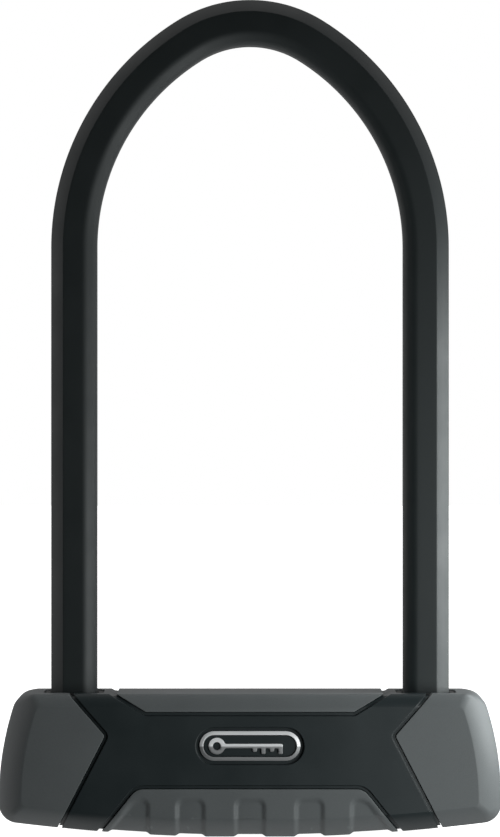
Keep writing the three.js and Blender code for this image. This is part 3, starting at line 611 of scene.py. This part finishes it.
def body_outline(top_in, side_in, base_in, tighter):
    """Front outline of the body; top, sides and base moved inwards and corners made tighter."""
    top_round = TOP_CORNER_R - tighter
    base_round = BASE_CORNER_R - tighter
    base_rise = BASE_R - math.sqrt(BASE_R**2 - BASE_FLAT_HALF**2)
    base = Vector((0, BASE_R - base_rise))
    side = Vector((HALF_LENGTH - SIDE_R, WIDEST_Z))
    corner = circles_meet(base, BASE_R - base_in - base_round, side, SIDE_R - side_in - base_round)
    top_z = BODY_TOP - top_in - top_round
    reach = math.sqrt((SIDE_R - side_in - top_round) ** 2 - (top_z - WIDEST_Z) ** 2)
    top = Vector((side.x + reach, top_z))
    flat_end = math.acos((base.y - base_in) / (BASE_R - base_in)) - math.pi / 2
    base_end = math.atan2(corner.y - base.y, corner.x - base.x)
    side_start = math.atan2(corner.y - side.y, corner.x - side.x)
    side_end = math.atan2(top.y - side.y, top.x - side.x)
    right = arc(base, BASE_R - base_in, flat_end, base_end, 24)
    right += arc(corner, base_round, base_end, side_start, 12)[1:]
    right += arc(side, SIDE_R - side_in, side_start, side_end, 24)[1:]
    right += arc(top, top_round, side_end, math.pi / 2, 12)[1:]
    return right + mirrored(right)


def chamfer_inset(width, depth, back):
    """How far a soft chamfer has come in at a distance back from the front face."""
    share = max(1 - back / depth, 0)
    return width * (1 - (1 - share**CHAMFER_POWER) ** (1 / CHAMFER_POWER))


def body_block(inset, name="block", steps=14):
    """The whole body as one block with softly chamfered long edges, moved inwards by inset."""
    half_depth = HALF_DEPTH - inset
    widths = [width - inset for width in (TOP_CHAMFER, SIDE_CHAMFER, BASE_CHAMFER)]
    depths = [TOP_CHAMFER_DEPTH * widths[0] / TOP_CHAMFER, widths[1], widths[2]]
    front = []
    for i in range(steps + 1):
        back = max(depths) * (1 - math.sin(math.pi / 2 * i / steps))
        insets = [inset + chamfer_inset(w, d, back) for w, d in zip(widths, depths)]
        tighter = min(max(insets), BASE_CORNER_R - 2 * MM)
        front.append([(x, back - half_depth, z) for x, z in body_outline(*insets, tighter)])
    rear = [[(x, -y, z) for x, y, z in ring] for ring in front]
    return stacked(name, rear[::-1] + front)


# Front outlines of the outer layer's pieces. They run past the body's own edge, and distance
# moves their sides outwards.


def cap_outline(distance):
    corners = [(49.9, 35.8), (68, 0.7), (68, -9), (100, -9), (100, 60), (71.1, 60)]
    points = rounded([(x * MM, z * MM) for x, z in corners], [2 * MM, 0, 0, 0, 0, 0])
    return grown(points, distance)


def left_cap_outline(distance):
    return mirrored(cap_outline(distance))


def trim_outline(distance):
    corners = [(-36.5, 43.4), (36.5, 43.4), (62.6, 59), (-62.6, 59)]
    points = rounded([(x * MM, z * MM) for x, z in corners], [0.8 * MM, 0.8 * MM, 0, 0])
    return grown(points, distance)


def grip_outline(distance):
    corners = [(-40, 17.8), (-61.9, -9.5), (61.9, -9.5), (40, 17.8)]
    points = rounded([(x * MM, z * MM) for x, z in corners], [6 * MM, 0, 0, 6 * MM], steps=10)
    return grown(points, distance)


def panel(name, outline):
    """A piece of the outer layer, half a groove smaller than its outline."""
    piece = cut(body_block(0, name), body_block(PANEL))
    return keep(piece, through(outline(-GROOVE / 2), -PAST, PAST))


def recess(outline):
    """The room that a piece of the outer layer and its groove take from the cover."""
    return through(outline(GROOVE / 2), -PAST, PAST)


def groove_rib(outline):
    """Raised line of the cover that closes the bottom of one groove."""
    clear = 0.1 * MM
    rib = keep(body_block(GROOVE_DEPTH, "rib"), through(outline(GROOVE / 2 + clear), -PAST, PAST))
    return cut(rib, through(outline(clear - GROOVE / 2), -PAST, PAST))


def collar_hole(side):
    half = COLLAR_HALF + GAP
    outline = rounded(rectangle(half, half, (side * LEG_X, 0)), [COLLAR_CORNER_R] * 4)
    return upright(outline, HOUSING_TOP - GAP, BODY_TOP + MM)


def key_pocket():
    return upright(circle((0, 0), escutcheon_hi.x + GAP, 64), -MM, CAVITY_INSET + MM)


def badge_recess():
    size = rim_hi - rim_lo
    outline = stadium(size.x + BADGE_MOAT, size.z + BADGE_MOAT, BADGE_MIDDLE, steps=32)
    return through(outline, -PAST, BADGE_RECESS_DEPTH - HALF_DEPTH)


def make_caps():
    right = cut(panel("right_cap", cap_outline), collar_hole(1))
    left = mirror_copy(right, "left_cap")
    for piece, node in ((right, "right_end_cap"), (left, "left_end_cap")):
        soften(piece, 0.3 * MM)
        dress(piece, "panel_grey", "lock_body", node)


def make_trim():
    piece = soften(panel("trim", trim_outline), 0.3 * MM)
    return dress(piece, "panel_grey", "lock_body", "top_trim")


def make_cover():
    """Black base layer with the raised cover, split into a front and a rear half."""
    outlines = (cap_outline, left_cap_outline, trim_outline, grip_outline)
    whole = cut(body_block(0, "cover"), *[recess(outline) for outline in outlines])
    join(whole, body_block(BASE_INSET), *[groove_rib(outline) for outline in outlines])
    cut(whole, body_block(CAVITY_INSET), collar_hole(1), collar_hole(-1), key_pocket(), badge_recess())
    rear = copy_of(whole, "cover_rear")
    whole.name = "cover_front"
    far = 100 * MM
    keep(whole, box((-far, -PAST, -far), (far, -GAP / 2, far)))
    keep(rear, box((-far, GAP / 2, -far), (far, PAST, far)))
    for piece, node in ((whole, "front_shell"), (rear, "rear_shell")):
        soften(piece, 0.25 * MM)
        dress(piece, "cover_black", "lock_body", node)


def inside_corner(distances, radius):
    """Signed distance to the corner between half-planes, rounded by radius."""
    return math.hypot(*[max(d + radius, 0) for d in distances]) - radius


def channel_depth(x, z):
    """How deep the finger channels are at a place on the grip."""
    x = abs(x)
    above = z - CHANNEL_TOP
    beside = abs(x - SIDE_CHANNEL_X) - SIDE_CHANNEL_HALF
    slanted = Vector((x - END_CHANNEL_TOP_X, above)).dot(END_CHANNEL_LEAN)
    middle = inside_corner((x - MIDDLE_CHANNEL_HALF, above), CHANNEL_ROUND)
    side = inside_corner((beside, above), CHANNEL_ROUND)
    end = inside_corner((END_CHANNEL_X - x, slanted, above), CHANNEL_ROUND)
    share = 0.5 - min(middle, side, end) / CHANNEL_WALL
    share = min(max(share, 0), 1)
    return CHANNEL_DEPTH * share * share * (3 - 2 * share)


def base_z(x):
    """Height of the body's underside, which curves up towards the ends."""
    centre = math.sqrt(BASE_R**2 - BASE_FLAT_HALF**2)
    return max(centre - math.sqrt(BASE_R**2 - x**2), 0)


def press_channels(piece):
    """Divides the grip finely and moves its outer skin inwards where a channel runs."""
    width, height = 0.4 * MM, 0.6 * MM  # of the strips that the grip is divided into
    columns, rows = 132, 25  # to each side of the middle, and up from the underside
    near_skin = 0.85  # 1 is the chamfer itself
    mesh = bmesh.new()
    mesh.from_mesh(piece.data)
    slices = [((i * width, 0, 0), (1, 0, 0)) for i in range(-columns, columns + 1)]
    slices += [((0, 0, i * height), (0, 0, 1)) for i in range(1, rows + 1)]
    for place, normal in slices:
        everything = mesh.verts[:] + mesh.edges[:] + mesh.faces[:]
        bmesh.ops.bisect_plane(mesh, geom=everything, plane_co=place, plane_no=normal,
                               dist=0.01 * MM)
    slope = CHAMFER_POWER - 1
    for vertex in mesh.verts:
        x, y, z = vertex.co
        down = max(1 - (z - base_z(x)) / BASE_CHAMFER, 0)
        out = max(1 - (HALF_DEPTH - abs(y)) / BASE_CHAMFER, 0)
        if down**CHAMFER_POWER + out**CHAMFER_POWER > near_skin:
            outwards = Vector((0, math.copysign(out**slope, y), -(down**slope)))
            vertex.co -= outwards.normalized() * channel_depth(x, z)
    mesh.to_mesh(piece.data)
    mesh.free()


def make_grip():
    piece = cut(panel("grip", grip_outline), key_pocket())
    round_edges(piece, 0.3 * MM)
    press_channels(piece)
    smooth(piece)
    return dress(piece, "panel_grey", "lock_body", "bottom_grip")


def make_collars():
    square = rectangle(COLLAR_HALF, COLLAR_HALF, (LEG_X, 0))
    right = upright(rounded(square, [COLLAR_CORNER_R] * 4, steps=12),
                    collar_lo.z, collar_hi.z, "right_collar_seal")
    clearance = 0.4 * MM
    section = grown(sleeve_section(), clearance)
    hole = [(LEG_X - across, depth) for depth, across in section]
    cut(right, upright(hole, collar_lo.z - MM, collar_hi.z + MM))
    left = mirror_copy(right, "left_collar_seal")
    for piece, node in ((right, "right_collar"), (left, "left_collar")):
        soften(piece, 0.4 * MM, segments=3)
        dress(piece, "seal_black", "lock_body", node)


# ---------- Badge and keyhole cover ----------


def make_badge_rim():
    """A ring whose front slopes outwards from a rounded crest on its inner edge."""
    size = rim_hi - rim_lo
    width = 1.3 * MM
    slope = math.radians(28)
    crest_r = 0.2 * MM
    crest = (width - crest_r, rim_lo.y + crest_r)
    crest_arc = arc(crest, crest_r, -math.pi / 2 - slope, 0, 8)
    slope_start, slope_y = crest_arc[0]
    eave_y = slope_y + slope_start * math.tan(slope)
    profile = [(width, rim_hi.y), (0, rim_hi.y), (0, eave_y), *crest_arc]
    outlines = []
    for inwards, y in profile:
        outline = stadium(size.x - 2 * inwards, size.z - 2 * inwards, BADGE_MIDDLE, steps=32)
        outlines.append([(x, y, z) for x, z in outline])
    piece = smooth(looped("rim", outlines), angle=30)
    return dress(piece, "badge_silver", "lock_body", "badge_rim")


def make_badge_plate():
    size = plate_hi - plate_lo
    outline = stadium(size.x, size.z, BADGE_MIDDLE, steps=32)
    piece = through(outline, plate_lo.y, plate_hi.y, "plate")
    soften(piece, 0.15 * MM)
    return dress(piece, "cover_black", "lock_body", "badge_plate")


def make_emblem():
    """A plain key: ring, shank and a row of teeth."""
    stroke = 1.5 * MM
    ring_r = 2.9 * MM
    ring_x = emblem_lo.x + ring_r
    middle_z = emblem_hi.z - ring_r
    front, back = emblem_lo.y, emblem_hi.y
    piece = through(circle((ring_x, middle_z), ring_r, 48), front, back, "emblem")
    cut(piece, through(circle((ring_x, middle_z), ring_r - stroke, 48), front - MM, back + MM))
    blade = [(ring_x + ring_r - stroke / 2, middle_z - stroke / 2)]
    tooth_depths = (2 * MM, 2.8 * MM, 2 * MM, 2.8 * MM)
    teeth_length = (2 * len(tooth_depths) - 1) * stroke
    for i, drop in enumerate(tooth_depths):
        tooth_from = emblem_hi.x - teeth_length + 2 * i * stroke
        tooth_to = tooth_from + stroke
        blade.append((tooth_from, middle_z - stroke / 2))
        blade.append((tooth_from, middle_z - drop))
        blade.append((tooth_to, middle_z - drop))
        blade.append((tooth_to, middle_z - stroke / 2))
    blade[-1] = (emblem_hi.x, middle_z + stroke / 2)
    blade.append((blade[0][0], middle_z + stroke / 2))
    join(piece, through(blade, front, back))
    soften(piece, 0.4 * MM, segments=3)
    return dress(piece, "badge_silver", "lock_body", "badge_emblem")


def make_escutcheon():
    """Round keyhole cover with a window for the key and a slot for the shutter's nib."""
    key_half_width, key_half_length = 1.9 * MM, 4.2 * MM
    slot_half_length, slot_half_width = 2.9 * MM, MM
    slot_x, slot_corner_r = 5.7 * MM, 0.85 * MM
    window = rectangle(key_half_width, key_half_length)
    slot = rectangle(slot_half_length, slot_half_width, (slot_x, 0))
    nib_slot = rounded(slot, [slot_corner_r] * 4)
    below, above = escutcheon_lo.z - MM, escutcheon_hi.z + MM
    piece = upright(circle((0, 0), escutcheon_hi.x, 96), escutcheon_lo.z, escutcheon_hi.z,
                    "escutcheon")
    cut(piece, upright(window, below, above), upright(nib_slot, below, above))
    soften(piece, 0.3 * MM, segments=3)
    return dress(piece, "cover_black", "lock_body", "keyhole_escutcheon")


def make_shutter():
    """A blade behind the window, a neck beside it and a nib that shows in the slot."""
    blade_end, neck_start, nib_start = 2 * MM, MM, 3.2 * MM
    neck_half, nib_half = 1.6 * MM, 0.6 * MM
    bottom = escutcheon_hi.z + GAP
    blade = box((shutter_lo.x, shutter_lo.y, bottom), (blade_end, shutter_hi.y, shutter_hi.z),
                "shutter")
    neck = box((neck_start, -neck_half, bottom), (shutter_hi.x, neck_half, shutter_hi.z))
    nib = box((nib_start, -nib_half, shutter_lo.z), (shutter_hi.x, nib_half, bottom + GAP))
    join(blade, neck, nib)
    soften(blade, 0.15 * MM)
    return dress(blade, "cover_black", "shutter", "keyhole_shutter")


# ---------- Stage ----------


def make_floor():
    """A pale floor that the camera sees, but that neither lights the lock nor shows in it."""
    nodes = Nodes("pale_floor")
    tone = nodes.noise(400 * MM, detail=2)
    nodes.finish(
        Base_Color=nodes.blend(nodes.spread(tone, 0, 1), (0.86, 0.86, 0.86, 1), (0.9, 0.9, 0.9, 1)),
        Roughness=0.8,
        Emission_Color=(1, 1, 1, 1),
        Emission_Strength=1.0,
    )
    half_width = 6
    corners = [(x, y, 0) for x, y in rectangle(half_width, half_width)]
    floor = new_object("floor", corners, [(0, 1, 2, 3)])
    floor.data.materials.append(nodes.material)
    floor.visible_glossy = False
    floor.visible_diffuse = False
    floor.visible_shadow = False


def make_world():
    """White to the camera; as light, dark in front of the lock and brighter beside and behind."""
    world = bpy.data.worlds.new("studio")
    world.use_nodes = True
    tree = world.node_tree
    ground = tree.nodes["Background"]
    ground.inputs["Color"].default_value = (1, 1, 1, 1)
    coordinates = tree.nodes.new("ShaderNodeTexCoord")
    split = tree.nodes.new("ShaderNodeSeparateXYZ")
    tree.links.new(coordinates.outputs["Generated"], split.inputs["Vector"])
    strength = tree.nodes.new("ShaderNodeMath")
    strength.operation = "MULTIPLY"
    rising = (-0.45, 0.03, 0, 1)  # start, strength there, end, strength there; -1 is the front
    falling = (0.15, 1, 0.8, 0.4)
    for i, (start, first, end, last) in enumerate((rising, falling)):
        ramp = tree.nodes.new("ShaderNodeMapRange")
        tree.links.new(split.outputs["Y"], ramp.inputs["Value"])
        ramp.interpolation_type = "SMOOTHSTEP"
        ramp.inputs["From Min"].default_value = start
        ramp.inputs["From Max"].default_value = end
        ramp.inputs["To Min"].default_value = first
        ramp.inputs["To Max"].default_value = last
        tree.links.new(ramp.outputs["Result"], strength.inputs[i])
    seen = tree.nodes.new("ShaderNodeLightPath")
    choose = tree.nodes.new("ShaderNodeMix")
    tree.links.new(seen.outputs["Is Camera Ray"], choose.inputs["Factor"])
    tree.links.new(strength.outputs["Value"], choose.inputs["A"])
    choose.inputs["B"].default_value = 1.0
    tree.links.new(choose.outputs["Result"], ground.inputs["Strength"])
    bpy.context.scene.world = world


def area_light(name, place, aim, size, power):
    data = bpy.data.lights.new(name, "AREA")
    data.shape = "RECTANGLE"
    data.size, data.size_y = size
    data.energy = power
    data.color = (0.96, 1, 1)  # a little cool
    lamp = bpy.data.objects.new(name, data)
    lamp.location = place
    lamp.rotation_euler = (Vector(aim) - Vector(place)).to_track_quat("-Z", "Y").to_euler()
    bpy.context.scene.collection.objects.link(lamp)
    return lamp


def make_lights():
    """A narrow upright strip beside the right leg and a larger one in front of it."""
    strip = area_light("edge_strip", place=(0.15, -0.006, 0.11), aim=(0, -0.006, 0.11),
                       size=(0.03, 0.15), power=0.19)
    fill = area_light("right_fill", place=(0.22, -0.25, 0.04), aim=(0, -0.03, 0.03),
                      size=(0.2, 0.24), power=0.82)
    strip.visible_camera = False
    fill.visible_camera = False


def make_camera():
    distance = 1.6
    height = 146.5 * MM
    shown_height = 295.5 * MM  # at the lock's own distance
    data = bpy.data.cameras.new("camera")
    data.sensor_width = 36
    data.lens = data.sensor_width * distance / shown_height
    camera = bpy.data.objects.new("camera", data)
    camera.location = (0, -distance, height)
    camera.rotation_euler = (math.pi / 2, 0, 0)
    bpy.context.scene.collection.objects.link(camera)
    bpy.context.scene.camera = camera


# ---------- Build ----------

make_sleeve()
make_bar()
make_caps()
make_trim()
make_cover()
make_grip()
make_collars()
make_badge_rim()
make_badge_plate()
make_emblem()
make_escutcheon()
make_shutter()
make_floor()
make_world()
make_lights()
make_camera()

slots = {part["node"]: part["material_slot"] for part in frame["record"]["subparts"]}
for name, node in frame["nodes"].items():
    node.data.materials.clear()
    node.data.materials.append(materials[slots[name]])

scene = bpy.context.scene
scene.view_settings.view_transform = "Standard"
scene.cycles.use_denoising = True
